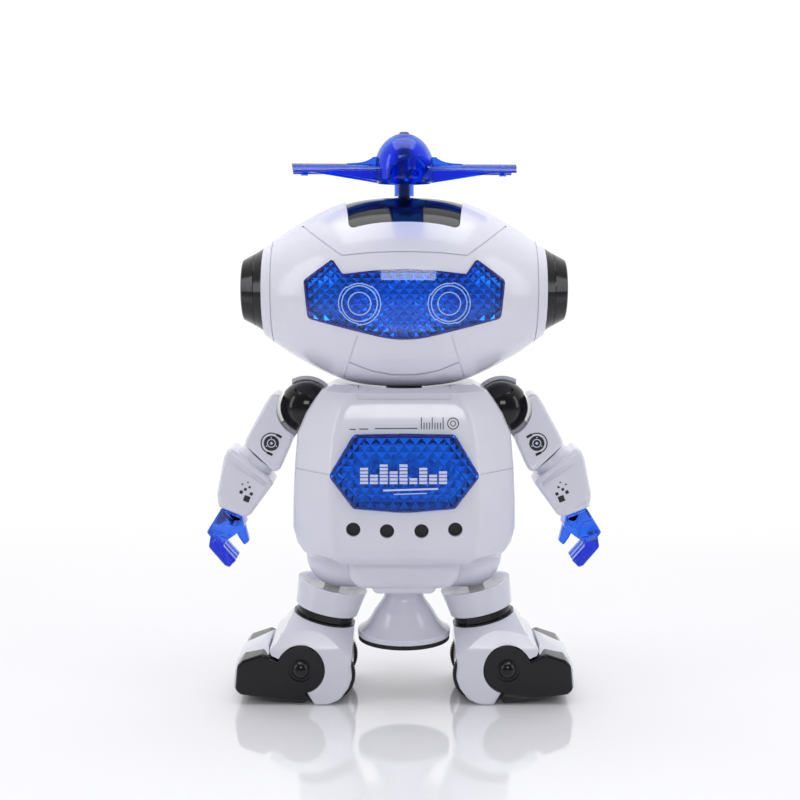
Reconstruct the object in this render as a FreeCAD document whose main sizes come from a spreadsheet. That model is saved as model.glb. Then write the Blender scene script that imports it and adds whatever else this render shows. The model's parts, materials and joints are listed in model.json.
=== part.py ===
import FreeCAD, Part
import math, os

V = FreeCAD.Vector
Placement = FreeCAD.Placement
Rotation = FreeCAD.Rotation

# Walking robot toy.  Origin on the floor under the body centre, +Z up, the face looks along -Y,
# "left" is the -X side.  All lengths in millimetres.
doc = FreeCAD.newDocument("walking_robot")
sheet = doc.addObject("Spreadsheet::Sheet", "dims")
D = dict(
    head_z=180.7, wall=2.2, head_end=61.2, ear_z=181.5, ear_base_radius=18.4, ear_reach=70.8,
    lens_proud=0.4, inset_depth=0.8, neck_radius=8.0, neck_bore=8.08, neck_top=150.0, neck_bottom=128.0,
    spindle_radius=2.6, spindle_bore=2.66, spindle_top=244.3, stem_radius=4.25, blade_reach=48.9,
    blade_chord=16.0, dish_radius=121.0, dish_low=138.1, shoulder_x=43.6, shoulder_z=129.7,
    ball_radius=11.7, socket_radius=12.2, socket_outer=14.2, cowl_radius=13.8, stub_radius=4.0, stub_bore=4.08,
    dot_radius=3.05, speaker_radius=10.5, hip_x=28.5, hip_z=64.0, knuckle_radius=15.7,
    knuckle_inner=13.7, gear_width=5.0, gear_bore=1.56, pin_radius=1.5, idler_x=9.0,
    belly_radius=34.0, belly_z=88.3, cuff_rim=15.9, cuff_foot=14.2, cuff_length=11.5, ring_radius=13.0,
    ring_height=3.4, boot_half=22.5, wheel_radius=11.9, wheel_x=33.5, wheel_width=4.6, axle_radius=1.4,
    axle_bore=1.45, toe_x=45.4, toe_z=16.0, toe_disc=10.4, toe_notch=10.75, toe_half=21.6,
    toe_pin=2.5, toe_bore=2.56, cap_radius=3.8, base_radius=20.6, base_low=24.7, shaft_radius=2.5,
    shaft_bore=2.56, arm_half=10.0, forearm_half=11.0, palm_half=7.5, finger_width=4.4, elbow_pin=3.0,
    elbow_bore=3.06, wrist_pin=2.0, wrist_bore=2.06, raise_pin=1.5, raise_bore=1.56, cell_radius=7.1,
    cell_length=50.0, motor_radius=10.0, motor_length=26.0, screw_head=2.2, screw_shank=1.1)
for i, (k, v) in enumerate(D.items(), 1):
    sheet.set("A%d" % i, k)
    sheet.set("B%d" % i, str(v))
    sheet.setAlias("B%d" % i, k)
doc.recompute()

def val(e):
    """Number behind a sheet alias, or the number itself."""
    return float(getattr(sheet, e)) if isinstance(e, str) else e

def bind(o, prop, e):
    if isinstance(e, str):
        o.setExpression(prop, "dims." + e)
    else:
        setattr(o, prop, e)

def direction(d):
    return Rotation(V(0, 0, 1), V(*d))

def cyl(p, d, r, length):
    o = doc.addObject("Part::Cylinder", "cylinder")
    bind(o, "Radius", r); bind(o, "Height", length)
    o.Placement = Placement(V(*p), direction(d))
    return o

def cone(p, d, r1, r2, length):
    o = doc.addObject("Part::Cone", "cone")
    bind(o, "Radius1", r1); bind(o, "Radius2", r2); bind(o, "Height", length)
    o.Placement = Placement(V(*p), direction(d))
    return o

def sph(c, r):
    o = doc.addObject("Part::Sphere", "sphere")
    bind(o, "Radius", r)
    o.Placement = Placement(V(*c), Rotation())
    return o

def box(lo, hi):
    o = doc.addObject("Part::Box", "box")
    o.Length, o.Width, o.Height = [hi[i] - lo[i] for i in range(3)]
    o.Placement = Placement(V(*lo), Rotation())
    return o

def cut(a, *tools):
    for b in tools:
        o = doc.addObject("Part::Cut", "cut")
        o.Base, o.Tool = a, b
        a = o
    return a

def fuse(*shapes):
    o = doc.addObject("Part::MultiFuse", "fuse")
    o.Shapes = list(shapes)
    return o

def common(a, b):
    o = doc.addObject("Part::MultiCommon", "common")
    o.Shapes = [a, b]
    return o

def mirror(a):
    o = doc.addObject("Part::Mirroring", "mirror")
    o.Source, o.Normal, o.Base = a, V(1, 0, 0), V(0, 0, 0)
    return o

def poly(pts, r=0.0):
    """Closed outline of straight runs, with each corner rounded by r (a number or one per corner)."""
    n = len(pts)
    P = [V(p[0], p[1], 0) for p in pts]
    R = r if isinstance(r, (list, tuple)) else [r] * n
    ins, arcs = [], []
    for i in range(n):
        a, b, c = P[i - 1], P[i], P[(i + 1) % n]
        u, w = (a - b), (c - b)
        lu, lw = u.Length, w.Length
        u.normalize(); w.normalize()
        ang = math.acos(max(-1, min(1, u.dot(w))))
        if R[i] <= 0 or abs(ang - math.pi) < 0.02:
            ins.append((b, b)); arcs.append(None); continue
        t = min(R[i] / math.tan(ang / 2), 0.45 * lu, 0.45 * lw)
        rr = t * math.tan(ang / 2)
        p1, p2 = b + u * t, b + w * t
        bis = (u + w); bis.normalize()
        cen = b + bis * (rr / math.sin(ang / 2))
        arcs.append(Part.Arc(p1, cen - bis * rr, p2)); ins.append((p1, p2))
    g = []
    for i in range(n):
        if arcs[i] is not None:
            g.append(arcs[i])
        p, q = ins[i][1], ins[(i + 1) % n][0]
        if (q - p).Length > 1e-4:
            g.append(Part.LineSegment(p, q))
    return g

def spline(pts):
    c = Part.BSplineCurve()
    c.interpolate([V(p[0], p[1], 0) for p in pts])
    return c

def plane(body, role):
    return [f for f in body.Origin.OriginFeatures if f.Role == role][0]

def sketch(body, role, geometry, offset=0.0):
    s = body.newObject("Sketcher::SketchObject", "profile")
    s.AttachmentSupport = [(plane(body, role), "")]
    s.MapMode = "FlatFace"
    s.AttachmentOffset = Placement(V(0, 0, offset), Rotation())
    s.addGeometry(geometry, False)
    return s

def prism(geometry, y0, y1, soft=0.0, place=None, faces=(-1, 1), cham=0.0):
    """Front-view outline (X, Z) padded from Y = y0 to Y = y1; soft rounds the end faces' rims."""
    b = doc.addObject("PartDesign::Body", "body")
    s = sketch(b, "XZ_Plane", geometry, -y1)
    p = b.newObject("PartDesign::Pad", "pad")
    p.Profile = s
    p.Length = y1 - y0
    if soft > 0 or cham > 0:
        doc.recompute()
        names = []
        for i, f in enumerate(p.Shape.Faces, 1):
            nn = f.normalAt(0, 0)
            if abs(abs(nn.y) - 1) < 1e-6 and (nn.y < 0 and -1 in faces or nn.y > 0 and 1 in faces):
                names.append("Face%d" % i)
        for r in (soft or cham, (soft or cham) * 0.7, (soft or cham) * 0.45):
            fl = b.newObject("PartDesign::Fillet" if soft else "PartDesign::Chamfer", "edge")
            fl.Base = (p, names)
            if soft:
                fl.Radius = r
            else:
                fl.Size = r
            doc.recompute()
            if fl.Shape.isNull() or not fl.Shape.isValid() or "Invalid" in fl.State or len(fl.Shape.Solids) != 1:
                b.removeObject(fl); doc.removeObject(fl.Name); b.Tip = p
                doc.recompute()
                continue
            break
        else:
            print("plain edges kept on", b.Name)
    if place is not None:
        b.Placement = place
    return b

def turned(geometry, axis, place=None):
    """Profile turned round the X axis (points are X, radius) or the Z axis (points are radius, Z)."""
    b = doc.addObject("PartDesign::Body", "body")
    s = sketch(b, "XY_Plane" if axis == "X" else "XZ_Plane", geometry)
    r = b.newObject("PartDesign::Revolution", "turn")
    r.Profile = s
    r.ReferenceAxis = (s, ["H_Axis"] if axis == "X" else ["V_Axis"])
    r.Angle = 360.0
    if place is not None:
        b.Placement = place
    return b

def at(x=0, y=0, z=0, rot=None):
    return Placement(V(x, y, z), rot or Rotation())

nodes = {}
def node(name, obj):
    obj.Label = name
    nodes[name] = obj
    return obj

# ------------------------------------------------------------------ head
HZ = D["head_z"]
PROFILE = [(0, 41.8), (12.5, 41.3), (23, 39.6), (32, 36.6), (41, 32.2), (50, 27), (56, 23), (61.2, 19.2)]
full = [(-x, r) for x, r in PROFILE[:0:-1]] + PROFILE
def head_solid(off):
    pts = []
    for i, (x, r) in enumerate(full):
        a, b = full[max(i - 1, 0)], full[min(i + 1, len(full) - 1)]
        tx, tr = b[0] - a[0], b[1] - a[1]
        q = math.hypot(tx, tr)
        pts.append((x - tr / q * off, r + tx / q * off))
    xe = D["head_end"] + (off if off < 0 else 0)
    pts[0], pts[-1] = (-xe, pts[0][1]), (xe, pts[-1][1])
    g = [spline(pts), Part.LineSegment(V(pts[-1][0], pts[-1][1], 0), V(xe, 0, 0)),
         Part.LineSegment(V(xe, 0, 0), V(-xe, 0, 0)), Part.LineSegment(V(-xe, 0, 0), V(pts[0][0], pts[0][1], 0))]
    return turned(g, "X", at(z=HZ))
outer, inner = head_solid(0), head_solid(-D["wall"])
front_half, rear_half = box((-90, -70, 20), (90, 0, 250)), box((-90, 0, 20), (90, 70, 250))
visor_pts = [(-42, 186.2), (-29.8, 195), (-25.4, 188.9), (-12, 190.4), (0, 190.9), (12, 190.4), (25.4, 188.9), (29.8, 195),
             (42, 186.2), (40.4, 170.3), (16.9, 164.6), (8, 162.4), (0, 161.7), (-8, 162.4), (-16.9, 164.6), (-40.4, 170.3)]
vr = [2.2, 1.2, 1.2, 30, 60, 30, 1.2, 1.2, 2.2, 2.5, 30, 40, 60, 40, 30, 2.5]
visor_tool = prism(poly(visor_pts, vr), -60, -10)
top_pts = [(-25.4, -8), (-25.8, 0), (-25.4, 8), (-23, 29.4), (23, 29.4), (25.4, 8), (25.8, 0), (25.4, -8), (23, -29.4), (-23, -29.4)]
top_body = doc.addObject("PartDesign::Body", "body")
ts = sketch(top_body, "XY_Plane", poly(top_pts, [20, 30, 20, 3, 3, 20, 30, 20, 3, 3]), 196)
tp = top_body.newObject("PartDesign::Pad", "pad"); tp.Profile = ts; tp.Length = 40

def line_tool(pts, w, y0=-60, y1=-2):
    """Thin upright strip that follows a polyline in front view."""
    out = []
    for (x1, z1), (x2, z2) in zip(pts, pts[1:]):
        L = math.hypot(x2 - x1, z2 - z1); ux, uz = (x2 - x1) / L, (z2 - z1) / L
        e = w / 2
        q = [(x1 - ux * e - uz * e, z1 - uz * e + ux * e), (x2 + ux * e - uz * e, z2 + uz * e + ux * e),
             (x2 + ux * e + uz * e, z2 + uz * e - ux * e), (x1 - ux * e + uz * e, z1 - uz * e - ux * e)]
        out.append(prism(poly(q), y0, y1))
    return fuse(*out) if len(out) > 1 else out[0]
def arc_pts(a, m, b, n=6):
    e = Part.Arc(V(a[0], a[1], 0), V(m[0], m[1], 0), V(b[0], b[1], 0)).toShape()
    return [(p.x, p.y) for p in e.discretize(n)]
lines = [[(-43.4, 208.8), (-25.9, 196.4)] , arc_pts((-25.9, 196.4), (0, 198), (25.9, 196.4)), [(25.9, 196.4), (43.4, 208.8)],
         [(-19.5, 163.5), (-25.8, 144.6)], [(19.5, 163.5), (25.8, 144.6)], arc_pts((-22.9, 151.6), (0, 145.8), (22.9, 151.6))]
groove = cut(fuse(*([line_tool(l, 0.55) for l in lines] + [box((s * 56.9 - 0.25, -60, 140), (s * 56.9 + 0.25, 60, 225)) for s in (-1, 1)])), head_solid(-0.45))
shell = cut(outer, inner)
neck_hole = cyl((0, 0, 130), (0, 0, 1), "neck_bore", 14)
front = cut(common(shell, front_half), visor_tool, top_body, groove, neck_hole)
node("head_front_shell", front)
screw_at = [(s * 41.0, HZ + dz) for s in (-1, 1) for dz in (-17.0, 17.0)]
def screws(points, depth):
    """Cross-head screws along Y with their bosses and holes: y is the seat of each head."""
    sc, boss, hole = [], [], []
    for (x, z), y in zip(points, depth):
        sc.append(fuse(cyl((x, y, z), (0, 1, 0), "screw_head", 1.5), cyl((x, y - 9, z), (0, 1, 0), "screw_shank", 9.4)))
        boss.append(cyl((x, 2, z), (0, 1, 0), 3.4, y + 6 - 2))
        hole.append(cyl((x, y, z), (0, 1, 0), 2.5, 14))
        hole.append(cyl((x, y - 9, z), (0, 1, 0), "screw_shank", 10))
    return fuse(*sc), fuse(*boss), fuse(*hole)
def rr(x):
    for (a, ra), (b, rb) in zip(PROFILE, PROFILE[1:]):
        if a <= abs(x) <= b:
            return ra + (rb - ra) * (abs(x) - a) / (b - a)
hs, hb, hh = screws(screw_at, [math.sqrt(rr(x) ** 2 - 17.0 ** 2) - 3.6 for x, z in screw_at])
rear = cut(common(shell, rear_half), top_body, groove)
rear = cut(fuse(rear, common(hb, outer)), hh, neck_hole)
node("head_rear_shell", rear)
node("head_screws", hs)
node("visor_lens", common(cut(head_solid(D["lens_proud"]), head_solid(-1.6)), visor_tool))
big_visor = prism(poly([(x * 1.035, 178 + (z - 178) * 1.07) for x, z in visor_pts], 1.5), -60, -10)
node("visor_reflector", common(cut(head_solid(-2.4), head_solid(-3.6)), big_visor))
inset = common(cut(head_solid(-D["inset_depth"]), head_solid(-D["wall"])), top_body)
node("head_top_inset", cut(inset, cyl((0, 0, 205), (0, 0, 1), "spindle_radius", 20)))
ear_prof = [(61.2, 0), (61.2, 18.4), (64.9, 16.1), (64.9, 15.5), (65.25, 15.5), (65.25, 15.9), (70.2, 13.3), (70.65, 12.6), (70.8, 9), (70.8, 0)]
ear = turned(poly(ear_prof), "X", at(z=D["ear_z"]))
node("ear_caps", fuse(ear, mirror(ear)))
flange = common(cyl((0, 0, 141.3), (0, 0, 1), 12.0, 3.6), head_solid(-D["wall"] - 0.1))
neck = cut(fuse(cyl((0, 0, 128.0), (0, 0, 1), "neck_radius", 22.0), flange,
                cyl((0, 0, 132.4), (0, 0, 1), 10.5, 2.4)), cyl((0, 0, 127), (0, 0, 1), 6.2, 24))
node("neck_post", neck)
node("propeller_spindle", fuse(cyl((0, 0, 204), (0, 0, 1), "spindle_radius", D["spindle_top"] - 204), cyl((0, 0, 214.6), (0, 0, 1), 7.0, 2.4)))
leds = [cyl((x, -22.4, 176.8), (0, -1, 0), 2.5, 5) for x in (-18.4, 18.4)]
node("eye_led_board", fuse(box((-29, -22.4, 169), (29, -20.8, 188)), *leds))

# ------------------------------------------------------------------ propeller
dome = [(13.1, 231.5), (13.0, 235.2), (12.2, 239.4), (10.4, 243.2), (7.8, 246.3), (4.8, 248.3), (2.4, 249.1)]
hub = turned([Part.LineSegment(V(0, 222.2, 0), V(4.25, 222.2, 0)), Part.LineSegment(V(4.25, 222.2, 0), V(4.25, 227.2, 0)),
              Part.LineSegment(V(4.25, 227.2, 0), V(10.8, 227.5, 0)), Part.Arc(V(10.8, 227.5, 0), V(12.6, 228.9, 0), V(13.1, 231.5, 0)),
              spline(dome), Part.LineSegment(V(2.4, 249.1, 0), V(1.9, 249.8, 0)), Part.LineSegment(V(1.9, 249.8, 0), V(1.3, 250, 0)),
              Part.LineSegment(V(1.3, 250, 0), V(0, 250, 0)), Part.LineSegment(V(0, 250, 0), V(0, 222.2, 0))], "Z")
cav = turned([Part.LineSegment(V(4.25, 225, 0), V(11.4, 225, 0)), Part.LineSegment(V(11.4, 225, 0), V(11.6, 231.5, 0)),
              spline([(11.6, 231.5), (11.5, 235), (10.8, 238.8), (9.2, 242.2), (7.0, 244.7), (4.25, 246.6)]), Part.LineSegment(V(4.25, 246.6, 0), V(4.25, 225, 0))], "Z")
t2 = 4.0
blades = []
for k in range(4):
    b = doc.addObject("PartDesign::Body", "body")
    g = [Part.Arc(V(-8.1, 232.9, 0), V(0, 236.3, 0), V(8.1, 232.9, 0)), Part.LineSegment(V(8.1, 232.9, 0), V(7.7, 232.1, 0)),
         Part.Arc(V(7.7, 232.1, 0), V(0, 235.0, 0), V(-7.7, 232.1, 0)), Part.LineSegment(V(-7.7, 232.1, 0), V(-8.1, 232.9, 0))]
    s = sketch(b, "YZ_Plane", g, 8)
    p = b.newObject("PartDesign::Pad", "pad"); p.Profile = s; p.Length = 44
    b.Placement = Placement(V(0, 0, 0), Rotation(V(0, 0, 1), 90 * k + t2))
    blades.append(b)
root_g = [spline([(10.6, 242.6), (12.9, 239.6), (15.8, 237.6), (20.0, 236.5), (25.0, 236.2)]), Part.LineSegment(V(25.0, 236.2, 0), V(25.0, 234.8, 0)),
          Part.LineSegment(V(25.0, 234.8, 0), V(10.6, 234.8, 0)), Part.LineSegment(V(10.6, 234.8, 0), V(10.6, 242.6, 0))]
for k in range(4):
    rot = Placement(V(0, 0, 0), Rotation(V(0, 0, 1), 90 * k + t2))
    blades.append(prism(root_g, -3.4, 3.4, place=rot))
    blades.append(prism(poly([(11.8, 228.0), (41.0, 232.6), (41.0, 235.4), (11.8, 235.4)]), -0.8, 0.8, place=rot))
    for sd in (-1, 1):
        blades.append(prism(poly([(10.0, 228.0), (34.0, 232.4), (34.0, 233.2), (10.0, 233.6)]), sd * 7.4 - 0.6, sd * 7.4 + 0.6, place=rot))
rim = cyl((0, 0, 225), (0, 0, 1), "blade_reach", 14)
blade_set = common(fuse(*blades), rim)
pegs = [cyl((43.4 * math.cos(math.radians(90 * k + t2)), 43.4 * math.sin(math.radians(90 * k + t2)), 231.0), (0, 0, 1), 1.5, 4.8) for k in range(4)]
prop = cut(fuse(cut(fuse(hub, blade_set), cav), *pegs), cyl((0, 0, 220), (0, 0, 1), "spindle_bore", D["spindle_top"] + 0.4 - 220))
node("propeller", prop)

# ------------------------------------------------------------------ torso
SEC = [(64.5, 41, 27, 27), (67.5, 44.4, 30.6, 29), (71.5, 47, 33, 30), (78, 48.8, 34, 31), (90, 48.6, 34, 31.2), (105, 47.8, 33.5, 31.2),
       (120, 46.5, 31.5, 29.6), (128.5, 42.8, 30, 28), (135, 38.6, 28.2, 25.6), (138.4, 36.0, 26.0, 23.6), (140.2, 33.6, 23.2, 21.6), (141, 30.6, 19.8, 19.6)]
def torso_solid(off, lo, hi):
    b = doc.addObject("PartDesign::Body", "body")
    sk = []
    zs = [lo] + [s[0] for s in SEC if lo + 1 < s[0] < hi - 1] + [hi]
    for z in zs:
        for (z1, *a), (z2, *c) in zip(SEC, SEC[1:]):
            if z1 <= z <= z2:
                f = (z - z1) / (z2 - z1)
                w, y, fl = [p + (q - p) * f for p, q in zip(a, c)]
                break
        w, y, fl, sd = w + off, y + off, fl + off * 0.45, 15 + off * 0.4
        pts = [(-fl, -y), (fl, -y), (w, -sd), (w, sd), (fl, y), (-fl, y), (-w, sd), (-w, -sd)]
        sk.append(sketch(b, "XY_Plane", poly(pts, 6 + off * 0.6), z))
    l = b.newObject("PartDesign::AdditiveLoft", "loft")
    l.Profile, l.Sections, l.Ruled = sk[0], sk[1:], True
    return b
t_out, t_in, t_skin = torso_solid(0, 64.5, 141), torso_solid(-D["wall"], 66.7, 135.8), torso_solid(-0.45, 65, 140)
SX, SZ = D["shoulder_x"], D["shoulder_z"]
balls = lambda r: [sph((s * SX, 0, SZ), r) for s in (-1, 1)]
tshell = cut(t_out, t_in)
tshell = fuse(tshell, common(fuse(*balls("socket_outer")), t_out))
tools = balls("socket_radius") + [sph((0, 0, D["dish_low"] + D["dish_radius"]), "dish_radius"), cyl((0, 0, 130), (0, 0, 1), "neck_bore", 15),
         cyl((-40, 0, SZ), (1, 0, 0), "stub_bore", 80), box((-42.5, -4.6, 60), (42.5, 4.6, 68)), box((-33, -7.3, 60), (33, 7.3, 65.8))]
tshell = cut(tshell, *tools)
LP = Placement(V(0, -33.3, 105), Rotation(V(1, 0, 0), -4))
chest_pts = [(-21.4, 121.6), (0, 122), (21.4, 121.6), (32, 104), (21.4, 90.1), (0, 88.4), (-21.4, 90.1), (-32, 104)]
def chest(k, y0, y1, cham=0):
    return prism(poly([(x * k, (z - 105) * k) for x, z in chest_pts], [2.5, 60, 2.5, 3, 2.5, 60, 2.5, 3]), y0, y1, 0, LP, (-1,), cham)
dots = [cyl((x, -40, z), (0, 1, 0), "dot_radius", 12) for x, z in ((-21.6, 81.2), (-7.3, 80.5), (7.3, 80.5), (21.6, 81.2))]
side_g = cut(fuse(box((-60, -40, 104.3), (-32, 40, 104.8)), box((32, -40, 104.3), (60, 40, 104.8)),
                  box((-19.8, -40, 135.8), (19.8, -5, 136.2)), box((-19.8, -40, 136.2), (-19.4, -5, 142)), box((19.4, -40, 136.2), (19.8, -5, 142))), t_skin)
tf = cut(common(tshell, front_half), chest(1.0, -6, 8), *dots)
node("torso_front_shell", cut(tf, side_g))
node("chest_lens", chest(1.0, -1.4, 1.6, 1.0))
node("chest_reflector", common(chest(1.035, 2.6, 3.7), torso_solid(-D["wall"] - 0.1, 66.7, 135.8)))
node("speaker_grille", box((-26, -31.55, 76.2), (26, -30.3, 85.8)))
spk = fuse(cyl((0, -21, 79.5), (0, -1, 0), "speaker_radius", 4), cone((0, -25, 79.5), (0, -1, 0), 7.5, 10.5, 3.2))
node("speaker", fuse(spk, cyl((0, -21, 79.5), (0, 1, 0), 5.0, 3)))
door_hole = box((-25.5, 20, 75), (25.5, 45, 119))
slot = box((-2.5, 20, 124.2), (6.0, 45, 127.5))
body_pts = [(s * 38.0, z) for s in (-1, 1) for z in (76.0, 108.0)]
bs, bb, bh = screws(body_pts, [21.4] * 4)
cowl = common(cut(fuse(*balls("cowl_radius")), *balls("socket_radius")), fuse(box((-50, 2, 134), (-20, 15, 145)), box((20, 2, 134), (50, 15, 145))))
tr = fuse(common(tshell, rear_half), common(bb, t_out), cowl)
tr = cut(tr, bh, door_hole, slot, side_g, sph((0, 0, D["dish_low"] + D["dish_radius"]), "dish_radius"))
node("torso_rear_shell", tr)
node("body_screws", bs)
door = common(cut(t_out, t_in), box((-25.15, 20, 75.35), (25.15, 45, 118.65)))
door_screw = fuse(cyl((0, 32.9, 79), (0, 1, 0), "screw_head", 1.0), cyl((0, 31.0, 79), (0, 1, 0), "screw_shank", 2.0))
grips = fuse(*[box((-6, 33.6, z), (6, 36, z + 0.7)) for z in (111, 113, 115)])
node("battery_door", cut(door, cyl((0, 32.9, 79), (0, 1, 0), 2.4, 5), door_screw, common(grips, box((-7, 33.0, 105), (7, 40, 118)))))
node("battery_door_screw", door_screw)
node("power_switch_knob", fuse(box((-2.1, 27.6, 124.55), (2.1, 31.4, 127.15)), box((-3.6, 25.6, 123.6), (3.6, 27.6, 128.1))))
bb2 = cut(box((-28, 11, 73), (28, 28.4, 120.2)), box((-26.3, 12.5, 74.6), (26.3, 40, 118.6)))
node("battery_box", bb2)
cz = (81.9, 96.6, 111.3)
node("battery_cells", fuse(*[fuse(cyl((-24.4, 20, z), (1, 0, 0), "cell_radius", 48.6), cyl((24.2, 20, z), (1, 0, 0), 2.6, 1.0)) for z in cz]))
node("battery_contacts", fuse(*[box((s * 25.75 - 0.45, 15, z - 5), (s * 25.75 + 0.45, 25, z + 5)) for z in cz for s in (-1, 1)]))
chips = [box((-12, -17.6, 98), (-2, -16, 108)), box((4, -17.4, 112), (11, -16, 116)), cyl((16, -16, 104), (0, -1, 0), 3, 6), cyl((-19, -16, 116), (0, -1, 0), 2.5, 8), cyl((19, -16, 118), (0, -1, 0), 2.5, 8)]
node("main_circuit_board", fuse(box((-25, -16, 92), (25, -14.4, 123)), *chips))
node("drive_motor", fuse(cyl((-13, 0, 93), (1, 0, 0), "motor_radius", "motor_length"), cyl((13, 0, 93), (1, 0, 0), 1.0, 6)))
node("gearbox_case", cut(box((-20, -8.5, 76.6), (24, 8.5, 82.6)), box((-18.4, -7, 78), (22.4, 7, 81.2))))

# ------------------------------------------------------------------ pelvis and bell
HX, HZP = D["hip_x"], D["hip_z"]
below = box((-60, -40, 40), (60, 40, 64.5))
block_pts = [(-14.5, 66), (14.5, 66), (14.0, 48.7), (-14.0, 48.7)]
belly_cyl = cyl((0, -21.3, D["belly_z"]), (0, 1, 0), "belly_radius", 42.6)
block = prism(poly(block_pts, [0, 0, 3, 3]), -17.5, 17.5, 2.0)
hips = cyl((-HX, 0, HZP), (1, 0, 0), "knuckle_radius", 2 * HX)
mid = prism(poly([(-25, 68), (25, 68), (24.5, 56), (20, 51.2), (-20, 51.2), (-24.5, 56)], [0, 0, 6, 6, 6, 6]), -20.6, 20.6, 5.0)
p_out = common(fuse(sph((-HX, 0, HZP), "knuckle_radius"), sph((HX, 0, HZP), "knuckle_radius"), hips, mid, block, belly_cyl), below)
p_cav = fuse(sph((-HX, 0, HZP), "knuckle_inner"), sph((HX, 0, HZP), "knuckle_inner"), cyl((-HX, 0, HZP), (1, 0, 0), "knuckle_inner", 2 * HX),
             box((-12, -15.5, 51.7), (12, 15.5, 66)), box((-20, -18, 58), (20, 18, 66)))
webs = common(fuse(box((-44, -7, 49), (44, -4.6, 64.5)), box((-44, 4.6, 49), (44, 7, 64.5))), p_out)
slots = fuse(box((-60, -4.6, 40), (-27.3, 4.6, 66)), box((27.3, -4.6, 40), (60, 4.6, 66)), box((-30, -4.6, 51.7), (30, 4.6, 66)))
pins = [cyl((x, -7, HZP), (0, 1, 0), "pin_radius", 14) for x in (-HX, -9.0, 9.0, HX)]
pelvis = cut(fuse(cut(p_out, p_cav), webs), slots, cyl((0, 0, 45), (0, 0, 1), "shaft_bore", 10), box((-24, -24, 40), (24, 24, 48.75)))
node("pelvis_shell", cut(pelvis, *pins))
node("gear_pins", fuse(*pins))
bell_o = [(8.7, 48.7), (8.7, 44), (10.4, 41.2), (12.8, 38), (16, 32.5), (18, 30.4), (20, 29.0), (20.9, 28.8), (20.9, 26.2), (18.9, 26.2), (18.9, 27.2),
          (16.4, 29.4), (14.2, 31.6), (11.0, 37), (8.6, 40.2), (6.7, 43.4), (6.7, 46.7), (2.56, 46.7), (2.56, 48.7)]
node("bell_skirt", turned(poly(bell_o, [0, 5, 12, 12, 12, 6, 1, 0.7, 0.5, 0, 0, 5, 5, 5, 5, 0, 0, 0, 0]), "Z"))
base = fuse(cyl((0, 0, 24.7), (0, 0, 1), 18.6, 1.2), cyl((0, 0, 25), (0, 0, 1), "shaft_radius", 28.2), cyl((0, 0, 52.1), (0, 0, 1), 4.0, 1.1),
            cyl((0, 0, 25.8), (0, 0, 1), 6.0, 3.0))
node("base_disc", base)
node("base_rubber_ring", cut(cyl((0, 0, 24.4), (0, 0, 1), "base_radius", 1.45), cyl((0, 0, 24), (0, 0, 1), 18.6, 4)))

def gear(n, x, phase, extra=None):
    """Spur gear, module 1, axis along Y, a tooth at the given angle from +X."""
    rp = n / 2.0
    a = 2 * math.pi / n
    pts = []
    for k in range(n):
        c = math.radians(phase) + k * a
        for f, r in ((-0.31, rp - 1.2), (-0.20, rp), (-0.085, rp + 0.8), (0.085, rp + 0.8), (0.20, rp), (0.31, rp - 1.2)):
            pts.append((x + r * math.cos(c + f * a), HZP + r * math.sin(c + f * a)))
    return cut(prism(poly(pts), -D["gear_width"] / 2, D["gear_width"] / 2), cyl((x, -5, HZP), (0, 1, 0), "gear_bore", 10))
node("idler_gear_left", gear(18, -9.0, 10.0))
node("idler_gear_right", gear(18, 9.0, 0.0))

# ------------------------------------------------------------------ legs (left side first)
TILT = math.radians(14)
dn = (-math.sin(TILT), 0, -math.cos(TILT))
def on_leg(s):
    return (-HX + dn[0] * s, 0, HZP + dn[2] * s)
def hanger(side):
    g = gear(21, side * HX, 0.0)
    rot = Rotation(V(0, 1, 0), 14 if side < 0 else -14)
    arm = doc.addObject("Part::Box", "box")
    arm.Length, arm.Width, arm.Height = 7.0, 7.0, 24.0
    arm.Placement = Placement(V(side * HX, 0, HZP), rot).multiply(at(-3.5, -3.5, -30.5))
    web = doc.addObject("Part::Box", "box")
    web.Length, web.Width, web.Height = 7.0, 5.0, 12.0
    web.Placement = Placement(V(side * HX, 0, HZP), rot).multiply(at(-3.5, -2.5, -13))
    return cut(fuse(g, cut(arm, box((-60, -5, 53.8), (60, 5, 80))), web), cyl((side * HX, -8, HZP), (0, 1, 0), "gear_bore", 16))
node("leg_gear_left", hanger(-1))
node("leg_gear_right", hanger(1))
arm_clear = doc.addObject("Part::Box", "box")
arm_clear.Length, arm_clear.Width, arm_clear.Height = 7.0, 7.0, 40.0
arm_clear.Placement = Placement(V(-HX, 0, HZP), Rotation(V(0, 1, 0), 14)).multiply(at(-3.5, -3.5, -40))
short_arm = common(arm_clear, cyl(on_leg(10), dn, 40.0, 20.5))
cuff = cut(cone(on_leg(15), dn, "cuff_rim", "cuff_foot", "cuff_length"), cone(on_leg(14.99), dn, 14.7, 9.5, 2.2), sph((-HX, 0, HZP), 16.6), short_arm)
ring = cut(fuse(cyl(on_leg(26.5), dn, 12.0, 4.5), cyl(on_leg(27.0), dn, "ring_radius", "ring_height"), cyl(on_leg(30.2), dn, 14.1, 0.75)), short_arm)
boot_pts = [(-45, 38), (-50.2, 36.6), (-51.6, 34.4), (-55.2, 28.4), (-59.2, 24.7), (-58.2, 22.2), (-54.2, 20.2), (-42.6, 5.4), (-39.4, 0.0), (-33.4, 0.0),
            (-28.3, 2.3), (-24.5, 7.4), (-22.9, 12), (-23.4, 17), (-23.1, 21), (-22.2, 34), (-28, 38)]
br = [0, 0.5, 3, 6, 1.0, 0.8, 1, 1.5, 2.0, 6, 6, 6, 6, 6, 6, 2, 0]
H2 = D["boot_half"]
boot_raw = prism(poly(boot_pts, br), -H2, H2, 1.8)
def leg_cone(r, s0):
    return cone(on_leg(s0), dn, r, r + 1.35 * 40, 40)
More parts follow.
